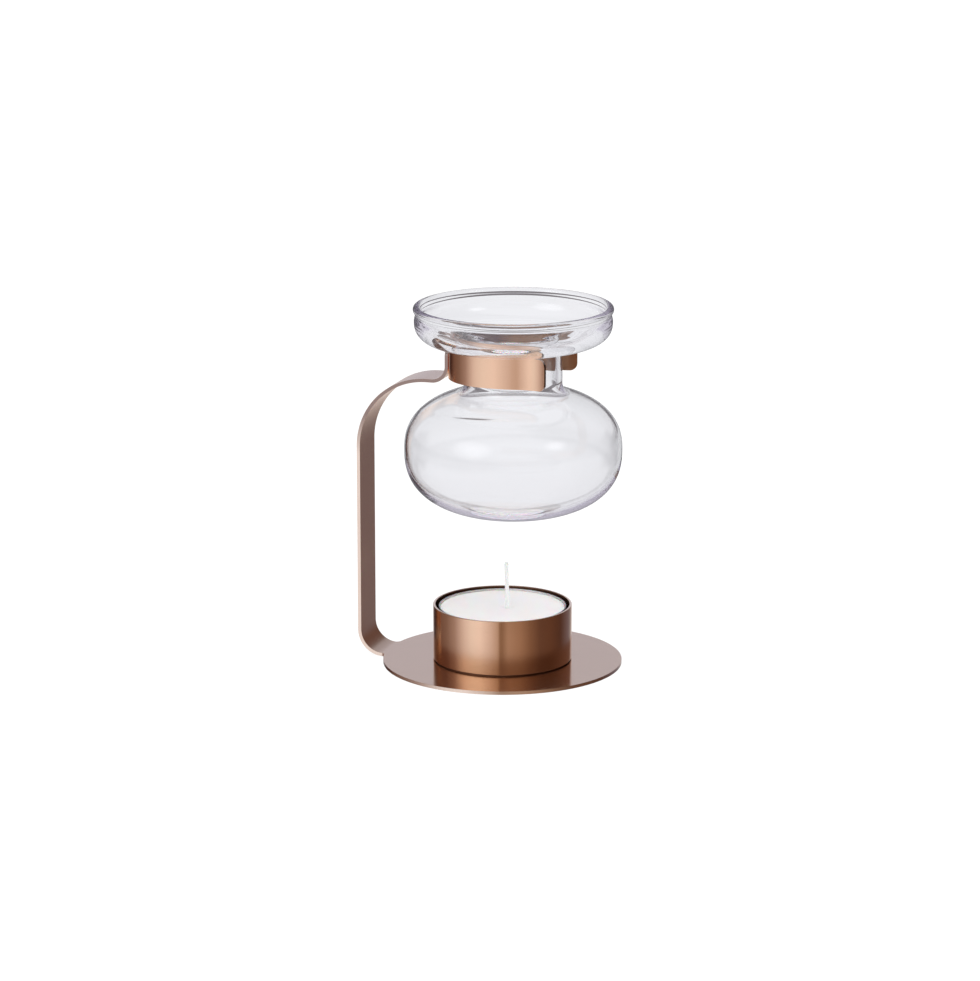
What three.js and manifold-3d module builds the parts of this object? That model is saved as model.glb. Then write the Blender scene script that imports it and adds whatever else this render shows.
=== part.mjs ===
// Oil warmer, in millimetres, +Z up.
// A round sheet-metal base runs out into an arm, bent from the same sheet. The arm holds an open collar
// over the base. A blown glass vessel, a dish on a neck on a squat bulb, slides into the collar from its
// open side and rests on it by the underside of the dish. A tealight stands in a cup on the base.
// The origin is the middle of the base's underside. The arm stands at -X and the collar opens to +X.

import * as THREE from 'three';
import { mergeVertices } from 'three/addons/utils/BufferGeometryUtils.js';
import Module from 'manifold-3d';

const wasm = await Module();
wasm.setup();

// Base and arm, one piece of sheet. Bend radii are to the middle of the sheet. The lower bend starts at the
// base's edge, and the upper bend takes up what is left of the arm's reach.
const sheetThickness = 1.0;
const baseBeyondBulb = 3.45;
const armWidth = 13.0;
const armRootFillet = 1.5;
const armRootOverlap = 6.0;
const armLowerBend = 7.3;
const armLevelRun = 1.8;
const armTipBend = 4.5;
const armTipCorner = 2.0;
const armLevelBelowCollar = 1.2;
const armTipBelowCollarTop = 1.0;

// Collar, a C of thinner sheet, flattened at its back where the arm is welded to it
const collarThickness = 0.8;
const collarHeight = 9.4;
const collarFlatLength = 11.6;
const collarFlatCornerBend = 1.0;
const collarLimbLength = 9.5;
const collarPinchBend = 8.0;
const collarFlareAngle = THREE.MathUtils.degToRad(3.5);
const collarTipLength = 7.0;
const collarTipCorner = 2.2;

// Glass vessel, one blown piece. It stands a little forward of the base's centre.
const glassForward = 3.3;
const neckRadius = 14.4;
const neckWall = 1.7;
const neckPlayInCollar = 0.8;
const neckPlayAtPinch = 0.4;
const neckBelowCollar = 1.3;
const dishSeatClearance = 0.3;
const dishWallRadius = 29.15;
const dishWall = 1.8;
const dishFloor = 1.8;
const dishOuterFillet = 0.8;
const dishOuterFlat = 1.2;
const dishInnerFillet = 2.6;
const dishInnerFlat = 1.1;
const dishCurveHeight = 7.4;
const dishCurvePower = 2.48;
const dishWallRun = 1.9;
const dishWaist = 0.3;
const lipRun = 1.05;
const lipRadius = 1.1;
const lipProud = 0.3;
const bulbRadius = 32.15;
const bulbWall = 0.8;
const bulbFloor = 1.5;
const bulbShoulderHeight = 18.5;
const bulbBowlHeight = 19.9;
const bulbShoulderPower = 2.37;
const bulbBowlPower = 2.5;
const bulbNeckFillet = 3.2;
const bulbAboveWick = 15.1;

// Candle cup, spot-welded to the base
const cupWall = 0.7;
const cupHeight = 16.8;
const cupFloor = 0.7;
const cupFootCorner = 0.3;
const tealightPlay = 0.95;

// Tealight
const panRadius = 19.0;
const panWall = 0.3;
const panHeight = 15.6;
const panFootCorner = 1.2;
const waxBelowPanRim = 0.5;
const waxPlay = 0.3;
const wickRadius = 0.65;
const wickAboveWax = 13.8;
const wickOffset = 1.45;
const wickLean = -0.25;
const wickPlay = 0.3;
const sustainerRadius = 7.0;
const sustainerThickness = 0.3;
const sustainerTubeHeight = 3.6;
const sustainerTubeWall = 0.3;

// Fineness of the round shapes
const bendStep = THREE.MathUtils.degToRad(3);
const cornerSteps = 4;
const curveSteps = 8;
const wickSteps = 14;
const wickSides = 16;
const discSegments = 96;
const vesselSegments = 48;
const cupSegments = 60;
const smallSegments = 32;

const X = new THREE.Vector3(1, 0, 0);
const Y = new THREE.Vector3(0, 1, 0);
const Z = new THREE.Vector3(0, 0, 1);
const quarterTurn = Math.PI / 2;

// Heights from the base up: the tealight in its cup, the bulb over the wick, the collar round the neck
const cupInnerRadius = panRadius + tealightPlay;
const cupRadius = cupInnerRadius + cupWall;
const cupFloorTop = sheetThickness + cupFloor;
const panRim = cupFloorTop + panHeight;
const panFloorTop = cupFloorTop + panWall;
const waxTop = panRim - waxBelowPanRim;
const wickTop = waxTop + wickAboveWax;
const sustainerTubeInner = wickRadius + wickPlay;
const sustainerTubeOuter = sustainerTubeInner + sustainerTubeWall;
const sustainerTop = panFloorTop + sustainerThickness;
const bulbMiddle = wickTop + bulbAboveWick + bulbBowlHeight;
const outerShoulder = shoulder(bulbRadius, bulbShoulderHeight, neckRadius, bulbNeckFillet);
const collarLow = outerShoulder.at(-1)[1] + neckBelowCollar;
const collarTop = collarLow + collarHeight;
const collarInnerRadius = neckRadius + neckPlayInCollar;
const collarMidRadius = collarInnerRadius + collarThickness / 2;
const baseRadius = bulbRadius + baseBeyondBulb;
const armLevel = collarLow - armLevelBelowCollar;

// Makes a closed solid from a geometry, so that solids can be joined
function solidOf(geometry) {
  const mergeDistance = 1e-5;
  const bare = geometry.clone();
  bare.deleteAttribute('normal');
  bare.deleteAttribute('uv');
  const merged = mergeVertices(bare, mergeDistance);
  return new wasm.Manifold(new wasm.Mesh({
    numProp: 3,
    vertProperties: new Float32Array(merged.attributes.position.array),
    triVerts: new Uint32Array(merged.index.array),
  }));
}

function geometryOf(solid) {
  const mesh = solid.getMesh();
  const geometry = new THREE.BufferGeometry();
  geometry.setAttribute('position', new THREE.BufferAttribute(new Float32Array(mesh.vertProperties), 3));
  geometry.setIndex(new THREE.BufferAttribute(new Uint32Array(mesh.triVerts), 1));
  geometry.computeVertexNormals();
  return geometry;
}

// Walks along straight runs and arcs that turn about one axis. Each place on the way keeps its point, the
// sheet's normal there and the length walked so far. A run can be cut into equal parts.
function walk(start, heading, axis, stretches) {
  const point = start.clone();
  const tangent = heading.clone();
  const places = [];
  let along = 0;
  const mark = () => places.push({ point: point.clone(), normal: axis.clone().cross(tangent), along });
  mark();
  for (const { run, parts = 1, radius, turn = 0 } of stretches) {
    const steps = turn ? Math.ceil(Math.abs(turn) / bendStep) : parts;
    const half = turn / steps / 2;
    const chord = turn ? 2 * radius * Math.sin(Math.abs(half)) : run / steps;
    const length = turn ? radius * Math.abs(turn) / steps : run / steps;
    for (let step = 0; step < steps; step++) {
      tangent.applyAxisAngle(axis, half);
      point.addScaledVector(tangent, chord);
      tangent.applyAxisAngle(axis, half);
      along += length;
      mark();
    }
  }
  return places;
}

// A bent strip of sheet along a walked path, with a half width that can change along it
function strip(places, axis, thickness, halfWidthAt) {
  const corners = [[-1, -1], [1, -1], [1, 1], [-1, 1]];
  const positions = [];
  const triangles = [];
  const quad = (a, b, c, d) => triangles.push(a, b, c, a, c, d);
  places.forEach(({ point, normal, along }, section) => {
    const first = 4 * section;
    for (const [face, side] of corners) {
      const corner = point.clone();
      corner.addScaledVector(normal, face * thickness / 2);
      corner.addScaledVector(axis, side * halfWidthAt(along));
      positions.push(corner.x, corner.y, corner.z);
    }
    if (section === 0) {
      return;
    }
    for (let k = 0; k < 4; k++) {
      const next = (k + 1) % 4;
      quad(first - 4 + k, first - 4 + next, first + next, first + k);
    }
  });
  const last = 4 * (places.length - 1);
  quad(3, 2, 1, 0);
  quad(last, last + 1, last + 2, last + 3);
  const geometry = new THREE.BufferGeometry();
  geometry.setAttribute('position', new THREE.Float32BufferAttribute(positions, 3));
  geometry.setIndex(triangles);
  geometry.computeVertexNormals();
  return geometry;
}

// How much a strip's half width shrinks at this distance from an end with rounded corners
function cornerCut(fromEnd, radius) {
  if (fromEnd >= radius) {
    return 0;
  }
  return radius - Math.sqrt(radius ** 2 - (radius - fromEnd) ** 2);
}

// Turns a profile of [radius, height] points about Z. It starts and ends on the axis or closes on itself.
function turned(profile, segments) {
  const points = profile.map(([r, z]) => new THREE.Vector2(r, z));
  return new THREE.LatheGeometry(points, segments).rotateX(quarterTurn);
}

function closed(profile) {
  return [...profile, profile[0]];
}

// Points of an arc in a profile, between two angles in degrees
function arc(r, z, radius, from, to, steps) {
  return Array.from({ length: steps + 1 }, (_, i) => {
    const angle = THREE.MathUtils.degToRad(from + (to - from) * i / steps);
    return [r + radius * Math.cos(angle), z + radius * Math.sin(angle)];
  });
}

// A squared-off ellipse: the point at an angle from its widest place, for half width a and half height b
function squaredPoint(a, b, power, angle) {
  const c = Math.max(Math.cos(angle), 0);
  const s = Math.sin(angle);
  return [a * c ** (2 / power), b * Math.sign(s) * Math.abs(s) ** (2 / power)];
}

// Base disc and arm, cut from one sheet and bent
function baseAndArm() {
  const disc = new THREE.CylinderGeometry(baseRadius, baseRadius, sheetThickness, discSegments);
  disc.rotateX(quarterTurn);
  disc.translate(0, 0, sheetThickness / 2);

  const plateMid = collarFlatOuter() + sheetThickness / 2;
  const reach = baseRadius + armLowerBend;
  const armUpperBend = reach - plateMid - armTipBend - armLevelRun;
  const tipTop = collarTop - armTipBelowCollarTop;
  const start = new THREE.Vector3(armRootOverlap - baseRadius, 0, sheetThickness / 2);
  const places = walk(start, X.clone().negate(), Y, [
    { run: armRootOverlap, parts: cornerSteps },
    { radius: armLowerBend, turn: quarterTurn },
    { run: armLevel - armUpperBend - armLowerBend - sheetThickness / 2 },
    { radius: armUpperBend, turn: quarterTurn },
    { run: armLevelRun },
    { radius: armTipBend, turn: -quarterTurn },
    { run: tipTop - armLevel - armTipBend - armTipCorner },
    { run: armTipCorner, parts: cornerSteps },
  ]);
  const length = places.at(-1).along;
  const filletEdge = armWidth / 2 + armRootFillet;
  const filletEnd = Math.sqrt((baseRadius + armRootFillet) ** 2 - filletEdge ** 2);
  const filletStart = filletEnd * baseRadius / (baseRadius + armRootFillet);
  const halfWidthAt = (along) => {
    const fromAxis = baseRadius - armRootOverlap + along;
    if (fromAxis > filletStart && fromAxis < filletEnd) {
      return filletEdge - Math.sqrt(armRootFillet ** 2 - (filletEnd - fromAxis) ** 2);
    }
    return armWidth / 2 - cornerCut(length - along, armTipCorner);
  };
  const arm = strip(places, Y, sheetThickness, halfWidthAt);
  return geometryOf(solidOf(disc).add(solidOf(arm)));
}

// The collar's flat back: half its length, and its middle line's distance behind the axis
function collarFlatHalf() {
  return collarFlatLength / 2;
}

function collarFlatMid() {
  return collarFlatCornerBend
    + Math.sqrt((collarMidRadius - collarFlatCornerBend) ** 2 - collarFlatHalf() ** 2);
}

function collarFlatOuter() {
  return collarFlatMid() + collarThickness / 2;
}

// Open collar. Its limbs lean in to a pinch that the vessel's neck just passes, then flare at the tips.
function neckCollar() {
  const pinchHalf = neckRadius + neckPlayAtPinch + collarThickness / 2;
  const limbReach = Math.hypot(collarMidRadius, collarLimbLength);
  const toeIn = Math.acos(pinchHalf / limbReach) - Math.atan2(collarLimbLength, collarMidRadius);
  const flatCornerTurn = Math.asin(collarFlatHalf() / (collarMidRadius - collarFlatCornerBend));
  const limb = [
    { run: collarFlatHalf() },
    { radius: collarFlatCornerBend, turn: flatCornerTurn },
    { radius: collarMidRadius, turn: quarterTurn + toeIn - flatCornerTurn },
    { run: collarLimbLength },
    { radius: collarPinchBend, turn: -toeIn - collarFlareAngle },
    { run: collarTipLength - collarTipCorner },
    { run: collarTipCorner, parts: cornerSteps },
  ];
  const back = new THREE.Vector3(-collarFlatMid(), 0, collarLow + collarHeight / 2);
  const front = walk(back, Y.clone().negate(), Z, limb);
  const length = front.at(-1).along;
  const rear = front.slice(1).map(({ point, normal, along }) => ({
    point: new THREE.Vector3(point.x, -point.y, point.z),
    normal: new THREE.Vector3(normal.x, -normal.y, normal.z),
    along: -along,
  }));
  const places = [...rear.reverse(), ...front];
  return strip(places, Z, collarThickness, (along) =>
    collarHeight / 2 - cornerCut(length - Math.abs(along), collarTipCorner));
}

// The bulb's shoulder: from its widest place up to the arc that leads into the neck, and along that arc to
// the neck. The arc is tangent to both, and its end is the foot of the straight neck.
function shoulder(radius, height, neck, fillet) {
  const centreRadius = neck + fillet;
  const at = (angle) => {
    const [r, z] = squaredPoint(radius, height, bulbShoulderPower, angle);
    const slopeR = (r / radius) ** (bulbShoulderPower - 1) / radius;
    const slopeZ = (z / height) ** (bulbShoulderPower - 1) / height;
    const slope = Math.hypot(slopeR, slopeZ);
    return { r, z, outR: slopeR / slope, outZ: slopeZ / slope };
  };
  let low = 0;
  let high = quarterTurn;
  const halvings = 50;
  for (let i = 0; i < halvings; i++) {
    const angle = (low + high) / 2;
    const { r, outR } = at(angle);
    if (r + fillet * outR > centreRadius) {
      low = angle;
    } else {
      high = angle;
    }
  }
  const touch = at(low);
  const centreHeight = bulbMiddle + touch.z + fillet * touch.outZ;
  const from = 180 + THREE.MathUtils.radToDeg(Math.atan2(touch.outZ, touch.outR));
  const curve = Array.from({ length: curveSteps }, (_, i) => {
    const { r, z } = at(low * i / curveSteps);
    return [r, bulbMiddle + z];
  });
  return [...curve, ...arc(centreRadius, centreHeight, fillet, from, 180, cornerSteps)];
}

// The bulb's bowl, from the axis out to just under its widest place
function bowl(radius, height) {
  return Array.from({ length: curveSteps }, (_, i) => {
    const angle = -quarterTurn * (1 - i / curveSteps);
    const [r, z] = squaredPoint(radius, height, bulbBowlPower, angle);
    return [r, bulbMiddle + z];
  });
}

// The dish's curve, from its flat middle out to its wall
function dishCurve(flatRadius, wallRadius, floor) {
  return Array.from({ length: curveSteps + 1 }, (_, i) => {
    const angle = -quarterTurn * (1 - i / curveSteps);
    const [r, z] = squaredPoint(wallRadius - flatRadius, dishCurveHeight, dishCurvePower, angle);
    return [flatRadius + r, floor + dishCurveHeight + z];
  });
}

// Vessel's profile: up the outside from under the bulb, over the dish's lip, and down the inside
function glassVessel() {
  const underside = collarTop + dishSeatClearance;
  const floor = underside + dishFloor;
  const neckInner = neckRadius - neckWall;
  const waist = underside + dishCurveHeight + dishWallRun;
  const lipStart = -30;
  const lipMidHeight = waist + lipRun - lipRadius * Math.sin(THREE.MathUtils.degToRad(lipStart));
  const lipMid = dishWallRadius + lipProud - lipRadius;
  const outerFlat = neckRadius + dishOuterFillet + dishOuterFlat;
  const innerFlat = neckInner + dishInnerFillet + dishInnerFlat;
  const outer = [
    ...bowl(bulbRadius, bulbBowlHeight),
    ...outerShoulder,
    ...arc(neckRadius + dishOuterFillet, underside - dishOuterFillet, dishOuterFillet, 180, 90, cornerSteps),
    ...dishCurve(outerFlat, dishWallRadius, underside),
    [dishWallRadius - dishWaist, waist],
    ...arc(lipMid, lipMidHeight, lipRadius, lipStart, 180, curveSteps),
  ];
  const inner = [
    ...bowl(bulbRadius - bulbWall, bulbBowlHeight - bulbFloor),
    ...shoulder(bulbRadius - bulbWall, bulbShoulderHeight - bulbWall, neckInner, bulbNeckFillet + neckWall),
    ...arc(neckInner + dishInnerFillet, floor - dishInnerFillet, dishInnerFillet, 180, 90, cornerSteps),
    ...dishCurve(innerFlat, dishWallRadius - dishWall, floor),
  ];
  return turned([...outer, ...inner.reverse()], vesselSegments);
}

function candleCup() {
  const foot = sheetThickness;
  const rim = foot + cupHeight;
  return turned([
    [0, foot],
    [cupRadius - cupFootCorner, foot],
    [cupRadius, foot + cupFootCorner],
    [cupRadius, rim],
    [cupInnerRadius, rim],
    [cupInnerRadius, cupFloorTop],
    [0, cupFloorTop],
  ], cupSegments);
}

function tealightPan() {
  const cornerRadius = panRadius - panFootCorner;
  const cornerHeight = cupFloorTop + panFootCorner;
  return turned([
    [0, cupFloorTop],
    ...arc(cornerRadius, cornerHeight, panFootCorner, -90, 0, cornerSteps),
    [panRadius, panRim],
    [panRadius - panWall, panRim],
    ...arc(cornerRadius, cornerHeight, panFootCorner - panWall, 0, -90, cornerSteps),
    [0, panFloorTop],
  ], cupSegments);
}

// Wax, with the wick's bore and the sustainer's recess cut through it. They stand a little off its middle.
function tealightWax() {
  const outer = panRadius - panWall - waxPlay;
  const footCorner = panFootCorner;
  const block = solidOf(turned([
    [0, panFloorTop],
    ...arc(outer - footCorner, panFloorTop + footCorner, footCorner, -90, 0, cornerSteps),
    [outer, waxTop],
    [0, waxTop],
  ], cupSegments));
  const bore = wickRadius + wickPlay;
  const recess = sustainerRadius + waxPlay;
  const recessTop = sustainerTop + waxPlay;
  const tubeRecess = sustainerTubeOuter + waxPlay;
  const tubeRecessTop = panFloorTop + sustainerTubeHeight + waxPlay;
  const hollow = solidOf(turned([
    [0, panFloorTop - waxPlay],
    [recess, panFloorTop - waxPlay],
    [recess, recessTop],
    [tubeRecess, recessTop],
    [tubeRecess, tubeRecessTop],
    [bore, tubeRecessTop],
    [bore, waxTop + waxPlay],
    [0, waxTop + waxPlay],
  ], smallSegments));
  return geometryOf(block.subtract(hollow.translate([wickOffset, 0, 0])));
}

// Steel foot that holds the wick upright in the wax
function wickSustainer() {
  const top = panFloorTop + sustainerTubeHeight;
  return turned(closed([
    [sustainerTubeInner, panFloorTop],
    [sustainerRadius, panFloorTop],
    [sustainerRadius, sustainerTop],
    [sustainerTubeOuter, sustainerTop],
    [sustainerTubeOuter, top],
    [sustainerTubeInner, top],
  ]), smallSegments);
}

// Wick, upright through the wax and bowed a little towards -X above it
function wick() {
  const path = new THREE.CurvePath();
  const foot = new THREE.Vector3(0, 0, panFloorTop);
  const exit = new THREE.Vector3(0, 0, waxTop);
  path.add(new THREE.LineCurve3(foot, exit));
  path.add(new THREE.QuadraticBezierCurve3(
    exit,
    new THREE.Vector3(0, 0, waxTop + wickAboveWax / 2),
    new THREE.Vector3(wickLean, 0, wickTop),
  ));
  const section = new THREE.Shape();
  section.absarc(0, 0, wickRadius, 0, 2 * Math.PI, false);
  const settings = { extrudePath: path, steps: wickSteps, curveSegments: wickSides / 2 };
  return new THREE.ExtrudeGeometry(section, settings);
}

const copper = { color: 0xb57f62, roughness: 0.35, metalness: 1.0 };
const aluminium = { color: 0xc9cacb, roughness: 0.3, metalness: 1.0 };
const wax = { color: 0xf3efe9, roughness: 0.45, metalness: 0.0 };
const cotton = { color: 0xf7f5f0, roughness: 0.9, metalness: 0.0 };
const glass = { color: 0xe9eaee, roughness: 0.04, metalness: 0.0, transparent: true, opacity: 0.3 };

function piece(name, geometry, finish) {
  const mesh = new THREE.Mesh(geometry, new THREE.MeshStandardMaterial(finish));
  mesh.name = name;
  return mesh;
}

const stand = new THREE.Group();
stand.add(piece('base_and_arm', baseAndArm(), copper));
stand.add(piece('neck_collar', neckCollar(), copper));
stand.add(piece('candle_cup', candleCup(), copper));

const tealight = new THREE.Group();
tealight.add(piece('tealight_pan', tealightPan(), aluminium));
tealight.add(piece('tealight_wax', tealightWax(), wax));

const wickUnit = new THREE.Group();
wickUnit.add(piece('wick_sustainer', wickSustainer(), aluminium));
wickUnit.add(piece('wick', wick(), cotton));
wickUnit.position.x = wickOffset;
tealight.add(wickUnit);

const vessel = new THREE.Group();
vessel.add(piece('glass_vessel', glassVessel(), glass));
vessel.position.x = glassForward;

const oilWarmer = new THREE.Group();
oilWarmer.add(stand, tealight, vessel);

export default oilWarmer;
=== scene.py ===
import math

import bpy
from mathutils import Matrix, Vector


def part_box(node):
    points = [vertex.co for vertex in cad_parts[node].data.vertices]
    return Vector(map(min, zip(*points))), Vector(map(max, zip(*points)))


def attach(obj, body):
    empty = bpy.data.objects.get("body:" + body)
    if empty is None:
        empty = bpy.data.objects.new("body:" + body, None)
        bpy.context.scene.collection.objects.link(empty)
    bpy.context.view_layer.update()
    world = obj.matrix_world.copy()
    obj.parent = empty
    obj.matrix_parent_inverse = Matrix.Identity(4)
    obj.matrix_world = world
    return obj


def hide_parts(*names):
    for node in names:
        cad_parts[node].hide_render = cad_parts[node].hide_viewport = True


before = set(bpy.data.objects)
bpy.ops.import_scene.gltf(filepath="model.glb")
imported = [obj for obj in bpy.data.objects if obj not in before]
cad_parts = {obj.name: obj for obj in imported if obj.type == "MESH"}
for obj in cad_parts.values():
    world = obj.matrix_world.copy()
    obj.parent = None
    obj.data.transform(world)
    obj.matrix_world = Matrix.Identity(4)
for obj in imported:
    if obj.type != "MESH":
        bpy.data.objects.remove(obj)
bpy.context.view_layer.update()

mm = 0.001
quarter_turn = math.pi / 2
X, Y, Z = Vector((1, 0, 0)), Vector((0, 1, 0)), Vector((0, 0, 1))

# Base and arm, one piece of sheet. Bend radii are to the middle of the sheet.
sheet_thickness = 1.0 * mm
arm_width = 13.0 * mm
arm_root_fillet = 1.5 * mm
arm_lower_bend = 7.3 * mm
arm_level_run = 1.8 * mm
arm_tip_bend = 4.5 * mm
arm_tip_corner = 2.0 * mm
arm_level_below_collar = 1.2 * mm
arm_tip_below_collar_top = 1.0 * mm

# Collar. Its limbs lean in past the neck's widest place, flare out again and curl out at their tips.
collar_thickness = 0.8 * mm
collar_height = 9.4 * mm
collar_flat_length = 11.6 * mm
collar_flat_corner_bend = 1.0 * mm
collar_limb_length = 9.5 * mm
collar_pinch_bend = 8.0 * mm
collar_flare_angle = math.radians(3.5)
collar_tip_length = 7.0 * mm
collar_tip_corner = 2.2 * mm
collar_lean_from = math.radians(-11.5)
collar_lean = math.radians(12)
collar_lean_run = 12.2 * mm
collar_spring_flare = math.radians(2)
collar_flare_run = 4.2 * mm
collar_tip_curl = math.radians(25)
collar_tip_stretch = 0.35 * mm

# Glass vessel, with a soft fold inside its shoulder
neck_radius = 14.4 * mm
neck_wall = 1.7 * mm
neck_play_in_collar = 0.8 * mm
neck_play_at_pinch = 0.4 * mm
dish_wall_radius = 29.15 * mm
dish_wall = 1.8 * mm
dish_floor = 1.8 * mm
dish_outer_fillet = 0.8 * mm
dish_outer_flat = 1.2 * mm
dish_inner_fillet = 2.6 * mm
dish_inner_flat = 1.1 * mm
dish_curve_height = 7.4 * mm
dish_curve_power = 2.48
dish_wall_run = 1.9 * mm
dish_waist = 0.3 * mm
lip_run = 1.05 * mm
lip_radius = 1.1 * mm
lip_proud = 0.3 * mm
bulb_radius = 32.15 * mm
bulb_wall = 0.8 * mm
bulb_floor = 1.5 * mm
bulb_shoulder_height = 18.5 * mm
bulb_bowl_height = 19.9 * mm
bulb_shoulder_power = 2.37
bulb_bowl_power = 2.5
bulb_neck_fillet = 3.2 * mm
shoulder_fold_radius = 22.3 * mm
shoulder_fold_spread = 3.9 * mm
shoulder_fold_width = 1.2 * mm
shoulder_fold_depth = 0.175 * mm
shoulder_fold_front = math.radians(18)
shoulder_fold_deepest = math.radians(-29)
shoulder_fold_reach = math.radians(42)
dish_seat_clearance = 0.3 * mm

# Candle cup and tealight. The wax has a well round the wick, and room below for the wick's foot.
cup_wall = 0.7 * mm
cup_floor = 0.7 * mm
cup_foot_corner = 0.42 * mm
cup_foot_recess = 0.6 * mm
pan_wall = 0.3 * mm
pan_foot_corner = 1.2 * mm
wax_gap_to_pan = 0.04 * mm
wax_gap_to_wick = 0.1 * mm
wax_well_radius = 2.4 * mm
wax_well_depth = 0.25 * mm
wax_flat_start = 6.0 * mm
wax_room_height = 4.0 * mm
wax_room_reach = 7.0 * mm
wax_still_share = 0.8
wick_radius = 0.65 * mm
wick_offset = 1.45 * mm
wick_lean = -0.25 * mm
wick_ply_radius = 0.5 * mm
wick_lay_pitch = 3.6 * mm
wick_end_margin = 0.1 * mm
wick_tip_share = 0.35

# Small rounds of a deburred edge
sheet_edge_round = 0.38 * mm
cup_edge_round = 0.16 * mm
pan_rim_round = 0.13 * mm
wax_edge_round = 0.35 * mm

# How finely curves are followed, and how near two kinds of rows of points may come to each other
sharp_angle = math.radians(35)
bend_step = math.radians(2)
row_margin = 0.1 * mm
turn_segments = 192

# Which of its piece's materials a face has: the plain one, the sheared edge's (paler and browner in places
# as painted highlight and shade), the collar lining's (painted dark as shade), and on the cup the one
# painted dark as shade
face_place, edge_place, lining_place = 0, 1, 2
painted_shade_place = 1
grain_map = "Grain"

# Places that the frame gives
collar_low, collar_top = (corner.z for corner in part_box("neck_collar"))
vessel_low, vessel_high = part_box("glass_vessel")
vessel_axis = Vector(((vessel_low.x + vessel_high.x) / 2, 0, 0))
bulb_middle = vessel_low.z + bulb_bowl_height
base_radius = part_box("base_and_arm")[1].x
cup_low, cup_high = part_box("candle_cup")
pan_low, pan_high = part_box("tealight_pan")
wax_low, wax_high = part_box("tealight_wax")
wick_low, wick_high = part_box("wick")

# Middle of the collar's sheet: half of its flat back, the radius round the neck, and how far back it is
collar_flat_half = collar_flat_length / 2
collar_mid_radius = neck_radius + neck_play_in_collar + collar_thickness / 2
collar_corner_reach = collar_mid_radius - collar_flat_corner_bend
collar_flat_mid = collar_flat_corner_bend + math.sqrt(collar_corner_reach**2 - collar_flat_half**2)


# A smooth mesh object with UVs in metres: u runs along the metal's grain, v across it
def mesh_object(name, vertices, faces, uvs):
    mesh = bpy.data.meshes.new(name)
    mesh.from_pydata([tuple(v) for v in vertices], [], faces)
    layer = mesh.uv_layers.new(name=grain_map)
    for polygon, corners in zip(mesh.polygons, uvs):
        for loop, uv in zip(polygon.loop_indices, corners):
            layer.data[loop].uv = uv
    mesh.validate()
    mesh.polygons.foreach_set("use_smooth", [True] * len(mesh.polygons))
    mesh.set_sharp_from_angle(angle=sharp_angle)
    made = bpy.data.objects.new(name, mesh)
    bpy.context.scene.collection.objects.link(made)
    return made


# A profile of (radius, height) points turned about the upright axis through a centre.
# The profile starts and ends on the axis, or its last point is its first.
def turned(name, profile, segments=turn_segments, centre=Vector((0, 0, 0))):
    ring = profile[0] == profile[-1]
    points = profile[:-1] if ring else profile
    lengths = [0.0]
    for (r0, z0), (r1, z1) in zip(profile, profile[1:]):
        lengths.append(lengths[-1] + math.hypot(r1 - r0, z1 - z0))
    vertices = []
    index = {}
    for i, (r, z) in enumerate(points):
        for k in range(1 if r == 0 else segments):
            angle = 2 * math.pi * k / segments
            index[i, k] = len(vertices)
            vertices.append(centre + Vector((r * math.cos(angle), r * math.sin(angle), z)))
    widest = max(r for r, _ in points)
    faces = []
    uvs = []
    for i in range(len(profile) - 1):
        low, high = i, (i + 1) % len(points)
        for k in range(segments):
            after = (k + 1) % segments
            u0 = widest * 2 * math.pi * k / segments
            u1 = widest * 2 * math.pi * (k + 1) / segments
            corners = [(low, k, u0), (low, after, u1), (high, after, u1), (high, k, u0)]
            if points[low][0] == 0:
                corners = [(low, 0, (u0 + u1) / 2), corners[2], corners[3]]
            elif points[high][0] == 0:
                corners = [corners[0], corners[1], (high, 0, (u0 + u1) / 2)]
            faces.append([index[level, place] for level, place, _ in corners])
            uvs.append([(u, lengths[i] if level == low else lengths[i + 1]) for level, _, u in corners])
    return mesh_object(name, vertices, faces, uvs)


# Points of an arc in a profile, between two angles in degrees
def arc(r, z, radius, start, end, steps):
    angles = [math.radians(start + (end - start) * i / steps) for i in range(steps + 1)]
    return [(r + radius * math.cos(a), z + radius * math.sin(a)) for a in angles]


# A squared-off ellipse: the point at an angle from its widest place, for half width a and half height b
def squared_point(a, b, power, angle):
    c = max(math.cos(angle), 0)
    s = math.sin(angle)
    return a * c ** (2 / power), math.copysign(b * abs(s) ** (2 / power), s)


# A share from 0 to 1 that starts and ends gently
def eased(t):
    return t * t * (3 - 2 * t)


# Points of a curve between two ends with the given directions there
def blended(start, start_way, end, end_way, steps):
    points = []
    for i in range(steps + 1):
        t = i / steps
        weights = (2 * t**3 - 3 * t**2 + 1, t**3 - 2 * t**2 + t, 3 * t**2 - 2 * t**3, t**3 - t**2)
        terms = (start, start_way, end, end_way)
        points.append(tuple(sum(w * term[k] for w, term in zip(weights, terms)) for k in (0, 1)))
    return points


# The bulb's shoulder, from its widest place up to the foot of the straight neck.
# The fillet's start, where it touches the shoulder's curve, is found by halving.
def shoulder(radius, height, neck, fillet, steps):
    fillet_steps = 16
    halvings = 50
    power = bulb_shoulder_power
    centre_radius = neck + fillet

    def at(angle):
        r, z = squared_point(radius, height, power, angle)
        slope_r = (r / radius) ** (power - 1) / radius
        slope_z = (z / height) ** (power - 1) / height
        slope = math.hypot(slope_r, slope_z)
        return r, z, slope_r / slope, slope_z / slope

    low, high = 0.0, quarter_turn
    for _ in range(halvings):
        angle = (low + high) / 2
        r, _, out_r, _ = at(angle)
        if r + fillet * out_r > centre_radius:
            low = angle
        else:
            high = angle
    _, touch_z, touch_r_out, touch_z_out = at(low)
    centre_height = bulb_middle + touch_z + fillet * touch_z_out
    start = 180 + math.degrees(math.atan2(touch_z_out, touch_r_out))
    curve = []
    for i in range(steps):
        r, z, _, _ = at(low * i / steps)
        curve.append((r, bulb_middle + z))
    return curve + arc(centre_radius, centre_height, fillet, start, 180, fillet_steps)


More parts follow.
